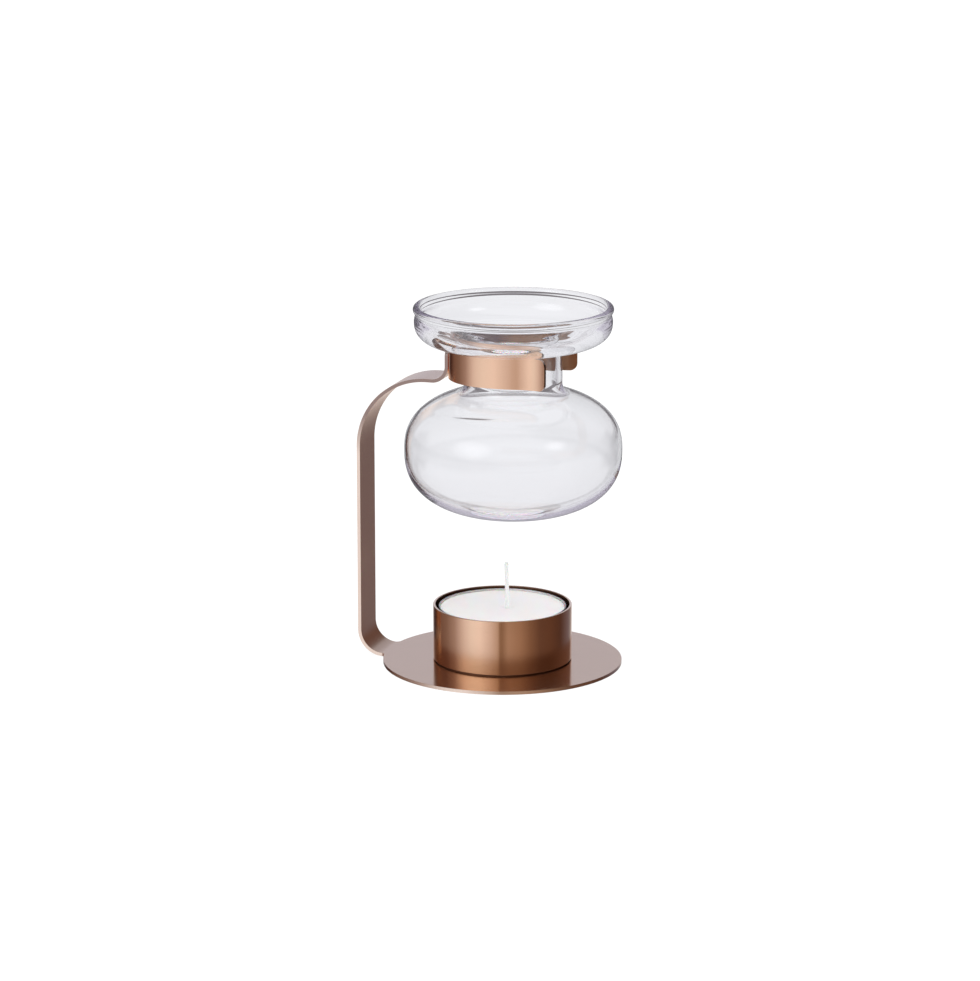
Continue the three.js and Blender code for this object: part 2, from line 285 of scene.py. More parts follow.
# The bulb's bowl, from the axis out to just under its widest place
def bowl(radius, height):
    steps = 48
    points = []
    for i in range(steps):
        r, z = squared_point(radius, height, bulb_bowl_power, -quarter_turn * (1 - i / steps))
        points.append((0.0 if i == 0 else r, bulb_middle + z))
    return points


# The dish's curve, from its flat middle out to its wall
def dish_curve(flat_radius, wall_radius, floor):
    steps = 32
    points = []
    for i in range(steps + 1):
        angle = -quarter_turn * (1 - i / steps)
        r, z = squared_point(wall_radius - flat_radius, dish_curve_height, dish_curve_power, angle)
        points.append((flat_radius + r, floor + dish_curve_height + z))
    return points


# A soft fold inside the shoulder, where the blown wall turns in, deepest near the front
def fold_shoulder(vertices):
    diagonal = math.sqrt(0.5)
    for vertex in vertices:
        out = Vector((vertex.co.x - vessel_axis.x, vertex.co.y, 0))
        angle = math.remainder(math.atan2(out.x, -out.y) - shoulder_fold_front, 2 * math.pi)
        radius = shoulder_fold_radius + shoulder_fold_spread * (1 - math.cos(angle))
        across = (out.length - radius) / shoulder_fold_width
        along = (angle - shoulder_fold_deepest) / shoulder_fold_reach
        shift = shoulder_fold_depth * math.exp(-across * across - along * along) * diagonal
        vertex.co -= out.normalized() * shift + Z * shift


# Dish, neck and bulb in one profile: up the outside, over the lip and down the inside
def glass_vessel():
    fillet_steps = 10
    wall_steps = 8
    lip_steps = 24
    outer_shoulder_steps = 40
    inner_shoulder_steps = 100
    lip_start = -30
    underside = collar_top + dish_seat_clearance
    floor = underside + dish_floor
    neck_inner = neck_radius - neck_wall
    wall_foot = underside + dish_curve_height
    waist = wall_foot + dish_wall_run
    lip_mid_height = waist + lip_run - lip_radius * math.sin(math.radians(lip_start))
    lip_mid = dish_wall_radius + lip_proud - lip_radius
    lip = arc(lip_mid, lip_mid_height, lip_radius, lip_start, 180, lip_steps)
    outer_flat = neck_radius + dish_outer_fillet + dish_outer_flat
    inner_flat = neck_inner + dish_inner_fillet + dish_inner_flat
    waist_point = (dish_wall_radius - dish_waist, waist)
    upward = (0, dish_wall_run)
    wall = blended((dish_wall_radius, wall_foot), upward, waist_point, upward, wall_steps)
    flare = blended(waist_point, (0, lip_run), lip[0], (lip_run / 2, lip_run), wall_steps)
    outer = [
        *bowl(bulb_radius, bulb_bowl_height),
        *shoulder(bulb_radius, bulb_shoulder_height, neck_radius, bulb_neck_fillet, outer_shoulder_steps),
        *arc(neck_radius + dish_outer_fillet, underside - dish_outer_fillet, dish_outer_fillet,
             180, 90, fillet_steps),
        *dish_curve(outer_flat, dish_wall_radius, underside),
        *wall[1:],
        *flare[1:],
        *lip[1:],
    ]
    inner = [
        *bowl(bulb_radius - bulb_wall, bulb_bowl_height - bulb_floor),
        *shoulder(bulb_radius - bulb_wall, bulb_shoulder_height - bulb_wall, neck_inner,
                  bulb_neck_fillet + neck_wall, inner_shoulder_steps),
        *arc(neck_inner + dish_inner_fillet, floor - dish_inner_fillet, dish_inner_fillet,
             180, 90, fillet_steps),
        *dish_curve(inner_flat, dish_wall_radius - dish_wall, floor),
    ]
    made = turned("glass_body", outer + inner[::-1], centre=vessel_axis)
    inner_start = 1 + (len(outer) - 1) * turn_segments
    fold_shoulder([v for v in made.data.vertices[inner_start:] if v.co.z > bulb_middle])
    # Blown glass has no sharp edge
    made.data.attributes["sharp_edge"].data.foreach_set("value", [False] * len(made.data.edges))
    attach(made, "vessel")
    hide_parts("glass_vessel")
    return made


# A path in one plane, given as (run, bend radius, turn) stretches. A straight run has no turn, and an arc
# has no run. It gives the point and the sheet's normal at any distance.
class Path:
    def __init__(self, start, heading, axis, stretches):
        self.axis = axis
        self.parts = []
        point = start.copy()
        way = heading.copy()
        along = 0.0
        for run, radius, turn in stretches:
            length = radius * abs(turn) if turn else run
            self.parts.append((along, length, point.copy(), way.copy(), radius, turn))
            point, way = self.step(point, way, length, radius, turn)
            along += length
        self.length = along

    # Where a stretch leads after a distance, and its heading there
    def step(self, point, way, distance, radius, turn):
        if not turn:
            return point + way * distance, way.copy()
        angle = math.copysign(distance / radius, turn)
        side = self.axis.cross(way) * math.copysign(radius, turn)
        turned_way = way * math.cos(angle) + self.axis.cross(way) * math.sin(angle)
        turned_side = side * math.cos(angle) + self.axis.cross(side) * math.sin(angle)
        return point + side - turned_side, turned_way

    def at(self, distance):
        start, _, point, way, radius, turn = next(
            (part for part in reversed(self.parts) if distance >= part[0]), self.parts[0])
        point, way = self.step(point, way, distance - start, radius, turn)
        return point, self.axis.cross(way)

    # Distances that follow each arc closely and cross each straight run in equal parts
    def stations(self, longest):
        found = [0.0]
        for start, length, _, _, _, turn in self.parts:
            parts = math.ceil(abs(turn) / bend_step) if turn else math.ceil(length / longest)
            found += [start + length * (i + 1) / parts for i in range(max(parts, 1))]
        return found


# Stations and half widths of the rounded corners at a strip's end
def rounded_end(end, half, radius):
    steps = 10
    angles = [quarter_turn * (i + 1) / steps for i in range(steps)]
    return [(end - radius + radius * math.sin(a), half - radius + radius * math.cos(a)) for a in angles]


# A bent strip of sheet, given as (distance along the path, half width) rows. Its edges are rounded with a
# bevel. A head is the outline of a flat part that the first row runs out of, as (distance, side) points.
def bent_sheet(name, path, rows, thickness, across, head=None, lined=False):
    vertices = []
    uvs_at = []
    for distance, half in rows:
        point, normal = path.at(distance)
        for face in (1, -1):
            for j in range(across + 1):
                side = half * (2 * j / across - 1)
                vertices.append(point + normal * (face * thickness / 2) + path.axis * side)
                uvs_at.append((distance, side))
    width = across + 1
    faces = []
    sheared = set()
    lining = set()

    def vertex(row, face, j):
        return row * 2 * width + face * width + j

    def sheared_face(corners):
        sheared.add(len(faces))
        faces.append(corners)

    for row in range(len(rows) - 1):
        for j in range(across):
            a, b = vertex(row, 0, j), vertex(row, 0, j + 1)
            c, d = vertex(row + 1, 0, j + 1), vertex(row + 1, 0, j)
            lining.add(len(faces))
            faces.append([a, b, c, d])
            faces.append([d + width, c + width, b + width, a + width])
        for j, flip in ((0, False), (across, True)):
            a, b = vertex(row, 0, j), vertex(row + 1, 0, j)
            side = [a, b, b + width, a + width]
            sheared_face(side[::-1] if flip else side)
    last = len(rows) - 1
    for j in range(across):
        a, b = vertex(last, 0, j), vertex(last, 0, j + 1)
        sheared_face([a, b, b + width, a + width])
    if head is None:
        for j in range(across):
            a, b = vertex(0, 0, j), vertex(0, 0, j + 1)
            sheared_face([b, a, a + width, b + width])
    else:
        first = len(vertices)
        for face in (1, -1):
            for distance, side in head:
                start, normal = path.at(0)
                point = start + normal.cross(path.axis) * distance
                vertices.append(point + normal * (face * thickness / 2) + path.axis * side)
                uvs_at.append((distance, side))
        count = len(head)
        top = [first + i for i in range(count)]
        row_top = [vertex(0, 0, j) for j in range(width)]
        loop = row_top[::-1] + top
        faces.append(loop)
        bottom = [i + width for i in row_top[::-1]] + [i + count for i in top]
        faces.append(bottom[::-1])
        rim = [row_top[0], *top, row_top[-1]]
        rim_low = [row_top[0] + width, *[i + count for i in top], row_top[-1] + width]
        for i in range(len(rim) - 1):
            sheared_face([rim[i + 1], rim[i], rim_low[i], rim_low[i + 1]])
    uvs = [[uvs_at[i] for i in face] for face in faces]
    made = mesh_object(name, vertices, faces, uvs)
    # Edge faces take the sheared edge's material, whose colour holds painted highlight and shade; lined
    # inner faces take the lining's, painted dark as shade
    for i in sheared:
        made.data.polygons[i].material_index = edge_place
    for i in lining if lined else ():
        made.data.polygons[i].material_index = lining_place
    bevel = made.modifiers.new("edge_round", "BEVEL")
    bevel.width = sheet_edge_round
    bevel.segments = 4
    bevel.material = face_place
    bevel.limit_method = "ANGLE"
    bevel.angle_limit = math.radians(50)
    bevel.harden_normals = True
    return made


# The disc and its strap: out along -X, up, over and up again behind the collar
def base_and_arm():
    fillet_steps = 12
    disc_steps = 240
    across = 10
    longest_step = 4 * mm
    plate_mid = collar_flat_mid + collar_thickness / 2 + sheet_thickness / 2
    reach = base_radius + arm_lower_bend
    upper_bend = reach - plate_mid - arm_tip_bend - arm_level_run
    level = collar_low - arm_level_below_collar
    tip_top = collar_top - arm_tip_below_collar_top
    start = Vector((0, 0, sheet_thickness / 2))
    path = Path(start, -X, Y, [
        (base_radius, 0, 0),
        (0, arm_lower_bend, quarter_turn),
        (level - upper_bend - arm_lower_bend - sheet_thickness / 2, 0, 0),
        (0, upper_bend, quarter_turn),
        (arm_level_run, 0, 0),
        (0, arm_tip_bend, -quarter_turn),
        (tip_top - level - arm_tip_bend, 0, 0),
    ])
    half = arm_width / 2
    fillet_mid = half + arm_root_fillet
    fillet_end = math.sqrt((base_radius + arm_root_fillet) ** 2 - fillet_mid**2)
    root_angle = math.atan2(fillet_mid, fillet_end)
    rows = []
    for i in range(fillet_steps + 1):
        turn = (quarter_turn - root_angle) * (1 - i / fillet_steps)
        rows.append((fillet_end - arm_root_fillet * math.sin(turn),
                     fillet_mid - arm_root_fillet * math.cos(turn)))
    corner_start = path.length - arm_tip_corner
    rows += [(s, half) for s in path.stations(longest_step)
             if fillet_end + row_margin < s < corner_start - row_margin]
    rows += [(corner_start, half), *rounded_end(path.length, half, arm_tip_corner)]
    span = math.pi - root_angle
    head = []
    for i in range(1, disc_steps):
        angle = root_angle + 2 * span * i / disc_steps
        head.append((base_radius * math.cos(angle), -base_radius * math.sin(angle)))
    made = bent_sheet("stand_sheet", path, rows, sheet_thickness, across, head)
    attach(made, "stand")
    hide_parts("base_and_arm")
    return made


# The open ring. Its limbs are as long as the plain ones that pinch, flare and run straight to their tips.
def neck_collar():
    across = 8
    longest_step = 2 * mm
    radius = collar_mid_radius
    pinch_half = neck_radius + neck_play_at_pinch + collar_thickness / 2
    limb_reach = math.hypot(radius, collar_limb_length)
    toe_in = math.acos(pinch_half / limb_reach) - math.atan2(collar_limb_length, radius)
    corner_turn = math.asin(collar_flat_half / collar_corner_reach)
    bends = radius * (toe_in - collar_lean_from) + collar_pinch_bend * (toe_in + collar_flare_angle)
    straight_runs = collar_limb_length + collar_tip_length + collar_tip_stretch
    curl_run = bends + straight_runs - collar_lean_run - collar_flare_run
    lean_turn = collar_lean - collar_lean_from
    flare_turn = collar_lean + collar_spring_flare
    limb = [
        (0, radius, quarter_turn + collar_lean_from - corner_turn),
        (0, collar_lean_run / lean_turn, lean_turn),
        (0, collar_flare_run / flare_turn, -flare_turn),
        (0, curl_run / collar_tip_curl, -collar_tip_curl),
    ]
    corner = (0, collar_flat_corner_bend, corner_turn)
    back = Vector((-collar_flat_mid, 0, (collar_low + collar_top) / 2))
    half_path = Path(back, -Y, Z, [(collar_flat_half, 0, 0), corner, *limb])
    end, normal = half_path.at(half_path.length)
    start = Vector((end.x, -end.y, end.z))
    way = Vector((-normal.y, -normal.x, 0))
    path = Path(start, way, Z, [*reversed(limb), corner, (collar_flat_length, 0, 0), corner, *limb])
    half = collar_height / 2
    ending = rounded_end(path.length, half, collar_tip_corner)
    beginning = [(path.length - s, h) for s, h in reversed(ending)]
    middle_start, middle_end = collar_tip_corner, path.length - collar_tip_corner
    middle = [(s, half) for s in path.stations(longest_step)
              if middle_start + row_margin < s < middle_end - row_margin]
    rows = [*beginning, (middle_start, half), *middle, (middle_end, half), *ending]
    made = bent_sheet("collar_band", path, rows, collar_thickness, across, lined=True)
    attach(made, "stand")
    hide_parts("neck_collar")
    return made


# The cup, with a small groove round its foot. Its inside and the groove are painted dark as shade.
def candle_cup():
    edge_steps = 5
    lip_steps = 6
    foot, rim, outer = cup_low.z, cup_high.z, cup_high.x
    inner = outer - cup_wall
    floor = foot + cup_floor
    edge = cup_edge_round
    inner_corner = cup_floor / 2
    recess = outer - cup_foot_recess
    groove_top = foot + cup_foot_corner
    made = turned("cup_shell", [
        (0.0, foot),
        (recess, foot),
        (recess, groove_top),
        *arc(outer - edge, groove_top + edge, edge, -90, 0, edge_steps),
        *arc(outer - edge, rim - edge, edge, 0, 90, edge_steps),
        *arc(inner + edge, rim - edge, edge, 90, 180, lip_steps),
        *arc(inner - inner_corner, floor + inner_corner, inner_corner, 0, -90, edge_steps),
        (0.0, floor),
    ])
    margin = edge / 4
    # Faces inside the cup and in the groove take the material painted dark as shade
    for polygon in made.data.polygons:
        spot = polygon.center
        reach = math.hypot(spot.x, spot.y)
        in_groove = spot.z < groove_top + margin and reach < outer - edge
        inside = spot.z > floor - edge and reach < inner + margin
        if in_groove or inside:
            polygon.material_index = painted_shade_place
    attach(made, "stand")
    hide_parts("candle_cup")
    return made


# The candle's drawn pan
def tealight_pan():
    corner_steps = 8
    edge_steps = 4
    foot, rim, outer = pan_low.z, pan_high.z, pan_high.x
    edge = pan_rim_round
    corner_radius = outer - pan_foot_corner
    corner_height = foot + pan_foot_corner
    made = turned("pan_foil", [
        (0.0, foot),
        *arc(corner_radius, corner_height, pan_foot_corner, -90, 0, corner_steps),
        *arc(outer - edge, rim - edge, edge, 0, 90, edge_steps),
        *arc(outer - pan_wall + edge, rim - edge, edge, 90, 180, edge_steps),
        *arc(corner_radius, corner_height, pan_foot_corner - pan_wall, 0, -90, corner_steps),
        (0.0, foot + pan_wall),
    ])
    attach(made, "tealight")
    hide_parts("tealight_pan")
    return made


# Wax: a pressed top with a soft edge, a small well round the wick, and room below for the wick's foot
def tealight_wax():
    segments = 160
    edge_steps = 6
    well_steps = 12
    low, high, outer = wax_low.z, wax_high.z, pan_high.x - pan_wall - wax_gap_to_pan
    corner = pan_foot_corner
    edge = wax_edge_round
    bore = wick_radius + wax_gap_to_wick
    room_top, room_radius = low + wax_room_height, bore + wax_room_reach
    well = []
    for i in range(well_steps):
        t = i / well_steps
        well.append((bore + (wax_well_radius - bore) * t, high - wax_well_depth * (1 - eased(t))))
    made = turned("wax_body", [
        (bore, room_top),
        (room_radius, room_top),
        (room_radius, low),
        *arc(outer - corner, low + corner, corner, -90, 0, edge_steps),
        *arc(outer - edge, high - edge, edge, 0, 90, edge_steps),
        (wax_flat_start, high),
        *reversed(well),
        (bore, room_top),
    ], segments)
    # The middle moves over with the wick, and the outside stays
    still_radius = outer * wax_still_share
    for vertex in made.data.vertices:
        reach = math.hypot(vertex.co.x, vertex.co.y) - wax_well_radius
        t = min(1.0, max(0.0, reach / (still_radius - wax_well_radius)))
        vertex.co.x += wick_offset * (1 - eased(t))
    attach(made, "tealight")
    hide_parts("tealight_wax")
    return made


# Wick: three plies laid round each other along the wick's gently leaning line
def wick():
    plies = 3
    steps = 90
    sides = 10
    closing_steps = 2
    low, high = wick_low.z, wick_high.z - wick_end_margin
    lay_radius = wick_radius - wick_ply_radius
    exit_height = wax_high.z
    vertices = []
    faces = []
    uvs = []

    def middle(z):
        t = max(0.0, (z - exit_height) / (high - exit_height))
        return Vector((wick_offset + wick_lean * t * t, 0, z))

    for ply in range(plies):
        rings = []
        for i in range(steps + 1):
            z = low + (high - low) * i / steps
            angle = 2 * math.pi * (z / wick_lay_pitch + ply / plies)
            centre = middle(z) + Vector((math.cos(angle), math.sin(angle), 0)) * lay_radius
            closing = min(1.0, (steps - i) / closing_steps + wick_tip_share)
            ring = []
            for k in range(sides):
                a = 2 * math.pi * k / sides
                ring.append(len(vertices))
                vertices.append(centre + Vector((math.cos(a), math.sin(a), 0)) * wick_ply_radius * closing)
            rings.append(ring)
        for i in range(steps):
            for k in range(sides):
                after = (k + 1) % sides
                faces.append([rings[i][k], rings[i][after], rings[i + 1][after], rings[i + 1][k]])
                u0, u1 = k / sides * mm, (k + 1) / sides * mm
                v0, v1 = i / steps * (high - low), (i + 1) / steps * (high - low)
                uvs.append([(u0, v0), (u1, v0), (u1, v1), (u0, v1)])
        for ring, flip in ((rings[0], True), (rings[-1], False)):
            faces.append(ring[::-1] if flip else ring)
            uvs.append([(0, 0)] * sides)
    made = mesh_object("wick_cord", vertices, faces, uvs)
    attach(made, "tealight")
    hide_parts("wick")
    return made


# A new material with its tree and Principled shader, whose plain values are set by name
def new_material(name, **values):
    material = bpy.data.materials.new(name)
    material.use_nodes = True
    tree = material.node_tree
    shader = next(n for n in tree.nodes if n.type == "BSDF_PRINCIPLED")
    for key, value in values.items():
        shader.inputs[key.replace("_", " ")].default_value = value
    return material, tree, shader


# Gives a colour socket a plain colour, or a link from another socket
def feed(tree, socket, colour):
    if isinstance(colour, tuple):
        socket.default_value = (*colour, 1)
    else:
        tree.links.new(colour, socket)


# Places on the object, along its metal's grain, and the X, Y and Z of a vector
def object_place(tree):
    return tree.nodes.new("ShaderNodeTexCoord").outputs["Object"]


def grain_place(tree):
    node = tree.nodes.new("ShaderNodeUVMap")
    node.uv_map = grain_map
    return node.outputs["UV"]


def parts_of(tree, vector):
    node = tree.nodes.new("ShaderNodeSeparateXYZ")
    tree.links.new(vector, node.inputs["Vector"])
    return node.outputs


# A noise texture over coordinates stretched by a scale for each axis, in features per metre
def noise(tree, place, scales, detail=3.0):
    mapping = tree.nodes.new("ShaderNodeMapping")
    mapping.inputs["Scale"].default_value = scales
    tree.links.new(place, mapping.inputs["Vector"])
    texture = tree.nodes.new("ShaderNodeTexNoise")
    texture.inputs["Scale"].default_value = 1.0
    texture.inputs["Detail"].default_value = detail
    tree.links.new(mapping.outputs["Vector"], texture.inputs["Vector"])
    return texture.outputs["Fac"]


# A factor taken from one range to another. A noise mostly lies between 0.25 and 0.75.
def ranged(tree, source, low, high, from_low=0.25, from_high=0.75):
    node = tree.nodes.new("ShaderNodeMapRange")
    node.inputs["From Min"].default_value = from_low
    node.inputs["From Max"].default_value = from_high
    node.inputs["To Min"].default_value = low
    node.inputs["To Max"].default_value = high
    tree.links.new(source, node.inputs["Value"])
    return node.outputs["Result"]


# A colour between two. The Mix node keeps its colours in these sockets.
def mixed(tree, factor, first, second):
    first_colour, second_colour, result_colour = 6, 7, 2
    node = tree.nodes.new("ShaderNodeMix")
    node.data_type = "RGBA"
    tree.links.new(factor, node.inputs[0])
    feed(tree, node.inputs[first_colour], first)
    feed(tree, node.inputs[second_colour], second)
    return node.outputs[result_colour]


# A colour that drifts between two with a noise
def clouded(tree, cloud, first, second):
    return mixed(tree, ranged(tree, cloud, 0, 1), first, second)


def bumped(tree, height, distance, strength):
    node = tree.nodes.new("ShaderNodeBump")
    node.inputs["Distance"].default_value = distance
    node.inputs["Strength"].default_value = strength
    tree.links.new(height, node.inputs["Height"])
    return node.outputs["Normal"]


# Satin copper with a fine brushed grain along u
def satin_copper():
    colour = (0.95, 0.66, 0.46)
    darker, lighter = (tuple(c * share for c in colour) for share in (0.98, 1.01))
    material, tree, shader = new_material(
        "satin_copper", Metallic=1.0, Anisotropic=0.95, Anisotropic_Rotation=0.25)
    place = grain_place(tree)
    lines = noise(tree, place, (150, 12000, 1), 2.0)
    broad = noise(tree, place, (60, 160, 1), 2.0)
    tree.links.new(clouded(tree, broad, darker, lighter), shader.inputs["Base Color"])
    tree.links.new(ranged(tree, lines, 0.16, 0.19), shader.inputs["Roughness"])
    tree.links.new(bumped(tree, lines, 0.0005 * mm, 0.25), shader.inputs["Normal"])
    tangent = tree.nodes.new("ShaderNodeTangent")
    tangent.direction_type = "UV_MAP"
    tangent.uv_map = grain_map
    tree.links.new(tangent.outputs["Tangent"], shader.inputs["Tangent"])
    return material


# Sheared edge of the plated sheet. It is paler than its faces, partly as cut metal and partly as a painted
# highlight, and painted browner high on the arm as shade.
def sheared_copper_painted_light():
    painted_shade_from, painted_shade_to = 62 * mm, 74 * mm
    material, tree, shader = new_material("sheared_copper_painted_light", Metallic=1.0, Roughness=0.24)
    place = object_place(tree)
    streaks = noise(tree, place, (3000, 3000, 500))
    # Paler than the faces: partly the cut metal's own colour, partly a painted highlight of the glints the
    # edges catch
    pale = clouded(tree, streaks, (0.95, 0.80, 0.66), (0.99, 0.87, 0.75))
    # Painted shade: the edge turns dark brown towards the top of the arm
    high = ranged(tree, parts_of(tree, place)["Z"], 0, 0.95, painted_shade_from, painted_shade_to)
    tree.links.new(mixed(tree, high, pale, (0.34, 0.26, 0.23)), shader.inputs["Base Color"])
    tree.links.new(bumped(tree, streaks, 0.004 * mm, 0.4), shader.inputs["Normal"])
    return material


# Inside of the collar: a rough finish, coloured dark as painted shade, darkest near the arm
def lining_copper_painted_shade():
    deepest_shade_to, open_from = -7 * mm, -1 * mm
    material, tree, shader = new_material("lining_copper_painted_shade", Metallic=1.0, Roughness=0.34)
    place = object_place(tree)
    cloud = noise(tree, place, (200, 200, 90))
    # Painted shade: the inside of the collar is coloured dark, darkest near the arm and lighter towards the
    # tips
    painted_shade_near_arm = clouded(tree, cloud, (0.18, 0.11, 0.115), (0.22, 0.14, 0.145))
    painted_shade_open_side = clouded(tree, cloud, (0.40, 0.22, 0.13), (0.46, 0.26, 0.16))
    towards_tips = ranged(tree, parts_of(tree, place)["X"], 0, 1, deepest_shade_to, open_from)
    tree.links.new(mixed(tree, towards_tips, painted_shade_near_arm, painted_shade_open_side), shader.inputs["Base Color"])
    return material


# Inside of the cup and its foot's groove: hardly polished, and coloured dark as painted shade
def copper_painted_shade():
    material, tree, shader = new_material("copper_painted_shade", Metallic=1.0, Roughness=0.45)
    cloud = noise(tree, object_place(tree), (300, 300, 120))
    # Painted shade: the inside of the cup and the groove are coloured dark brown
    colour = clouded(tree, cloud, (0.18, 0.095, 0.06), (0.26, 0.14, 0.09))
    tree.links.new(colour, shader.inputs["Base Color"])
    return material


# Clear glass with soft waves from blowing and a slight mauve tint in its depth
def blown_glass():
    tint, tint_density = (0.80, 0.77, 0.84), 30
    material, tree, shader = new_material(
        "clear_blown_glass", Roughness=0.0, IOR=1.47, Transmission_Weight=1.0,
        Base_Color=(0.985, 0.985, 0.99, 1))
    waves = noise(tree, object_place(tree), (90, 90, 140), 1.0)
    tree.links.new(bumped(tree, waves, 0.05 * mm, 0.5), shader.inputs["Normal"])
    absorption = tree.nodes.new("ShaderNodeVolumeAbsorption")
    absorption.inputs["Color"].default_value = (*tint, 1)
    absorption.inputs["Density"].default_value = tint_density
    output = next(n for n in tree.nodes if n.type == "OUTPUT_MATERIAL")
    tree.links.new(absorption.outputs["Volume"], output.inputs["Volume"])
    return material


def candle_wax():
    material, tree, shader = new_material(
        "candle_wax", Roughness=0.42, Specular_IOR_Level=0.4, Subsurface_Weight=0.35,
        Subsurface_Scale=2 * mm)
    place = object_place(tree)
    cloud = noise(tree, place, (120, 120, 120))
    grain = noise(tree, place, (1400, 1400, 1400))
    colour = clouded(tree, cloud, (0.92, 0.885, 0.88), (0.95, 0.92, 0.915))
    tree.links.new(colour, shader.inputs["Base Color"])
    tree.links.new(bumped(tree, grain, 0.03 * mm, 0.25), shader.inputs["Normal"])
    return material


def drawn_aluminium():
    material, tree, shader = new_material("drawn_aluminium", Metallic=1.0)
    lines = noise(tree, grain_place(tree), (2500, 90, 1))
    colour = clouded(tree, lines, (0.93, 0.93, 0.93), (0.98, 0.98, 0.98))
    tree.links.new(colour, shader.inputs["Base Color"])
    tree.links.new(ranged(tree, lines, 0.4, 0.55), shader.inputs["Roughness"])
    tree.links.new(bumped(tree, lines, 0.01 * mm, 0.4), shader.inputs["Normal"])
    return material


def tinned_steel():
    material, tree, shader = new_material("tinned_steel", Metallic=1.0)
    spangle = noise(tree, object_place(tree), (900, 900, 900), 2.0)
    colour = clouded(tree, spangle, (0.62, 0.62, 0.63), (0.72, 0.72, 0.73))
    tree.links.new(colour, shader.inputs["Base Color"])
    tree.links.new(ranged(tree, spangle, 0.25, 0.4), shader.inputs["Roughness"])
    return material


def waxed_cotton():
    material, tree, shader = new_material(
        "waxed_cotton", Roughness=0.7, Subsurface_Weight=0.2, Subsurface_Scale=0.5 * mm)
    fibres = noise(tree, object_place(tree), (5000, 5000, 1800))
    colour = clouded(tree, fibres, (0.78, 0.775, 0.77), (0.86, 0.85, 0.84))
    tree.links.new(colour, shader.inputs["Base Color"])
    tree.links.new(bumped(tree, fibres, 0.06 * mm, 0.6), shader.inputs["Normal"])
    return material


# Gives a piece its materials and keeps which face has which
def dress(piece, *materials):
    places = [polygon.material_index for polygon in piece.data.polygons]
    piece.data.materials.clear()
    for material in materials:
        piece.data.materials.append(material)
    piece.data.polygons.foreach_set("material_index", places)


# Pale floor that hardly takes a shadow
def studio_floor():
    half = 15.0
    drop = 0.02 * mm
    corners = [(-half, -half, 0), (half, -half, 0), (half, half, 0), (-half, half, 0)]
    mesh = bpy.data.meshes.new("floor")
    mesh.from_pydata(corners, [], [[0, 1, 2, 3]])
    floor = bpy.data.objects.new("floor", mesh)
    bpy.context.scene.collection.objects.link(floor)
    floor.location.z = -drop
    floor.visible_glossy = False
    floor.visible_transmission = False
    material, _, _ = new_material(
        "floor_white", Base_Color=(0.1, 0.1, 0.1, 1), Roughness=1.0, Specular_IOR_Level=0.0,
        Emission_Color=(1, 1, 1, 1), Emission_Strength=0.95)
    mesh.materials.append(material)


# A ring of soft light round the object, given as (azimuth in degrees from -Y towards +X, colour) stops
def light_ring(tree, azimuth, stops):
    node = tree.nodes.new("ShaderNodeValToRGB")
    elements = node.color_ramp.elements
    while len(elements) > 1:
        elements.remove(elements[-1])
    for i, (degrees, colour) in enumerate(stops):
        place = degrees / 360 + 0.5
        element = elements[0] if i == 0 else elements.new(place)
        element.position = place
        element.color = (*colour, 1)
    tree.links.new(azimuth, node.inputs["Fac"])
    return node.outputs["Color"]


# Light in layers from low to high. Each layer takes over between the two heights given with it, as sines.
def stacked(tree, height, lowest, layers):
    colour = lowest
    for low, high, layer in layers:
        colour = mixed(tree, ranged(tree, height, 0, 1, low, high), colour, layer)
    return colour


# The azimuth of a direction as a share of a turn, from -180 to 180 degrees
def azimuth_of(tree, parts):
    minus_y = tree.nodes.new("ShaderNodeMath")
    minus_y.operation = "MULTIPLY"
    minus_y.inputs[1].default_value = -1
    tree.links.new(parts["Y"], minus_y.inputs[0])
    angle = tree.nodes.new("ShaderNodeMath")
    angle.operation = "ARCTAN2"
    tree.links.new(parts["X"], angle.inputs[0])
    tree.links.new(minus_y.outputs[0], angle.inputs[1])
    return ranged(tree, angle.outputs[0], 0, 1, -math.pi, math.pi)


# A soft round lamp at an azimuth and a sine of height, as its share of light. It fades from the narrow to
# the wide angle round its middle.
def lamp_spot(tree, direction, azimuth, sine, wide, narrow):
    flat = math.sqrt(1 - sine * sine)
    towards = tree.nodes.new("ShaderNodeVectorMath")
    towards.operation = "DOT_PRODUCT"
    towards.inputs[1].default_value = (
        flat * math.sin(math.radians(azimuth)), -flat * math.cos(math.radians(azimuth)), sine)
    tree.links.new(direction, towards.inputs[0])
    edges = math.cos(math.radians(wide)), math.cos(math.radians(narrow))
    return ranged(tree, towards.outputs["Value"], 0, 1, *edges)


def light_of(tree, colour):
    node = tree.nodes.new("ShaderNodeBackground")
    feed(tree, node.inputs["Color"], colour)
    return node.outputs[0]


def either_light(tree, factor, first, second):
    node = tree.nodes.new("ShaderNodeMixShader")
    tree.links.new(factor, node.inputs[0])
    tree.links.new(first, node.inputs[1])
    tree.links.new(second, node.inputs[2])
    return node.outputs[0]


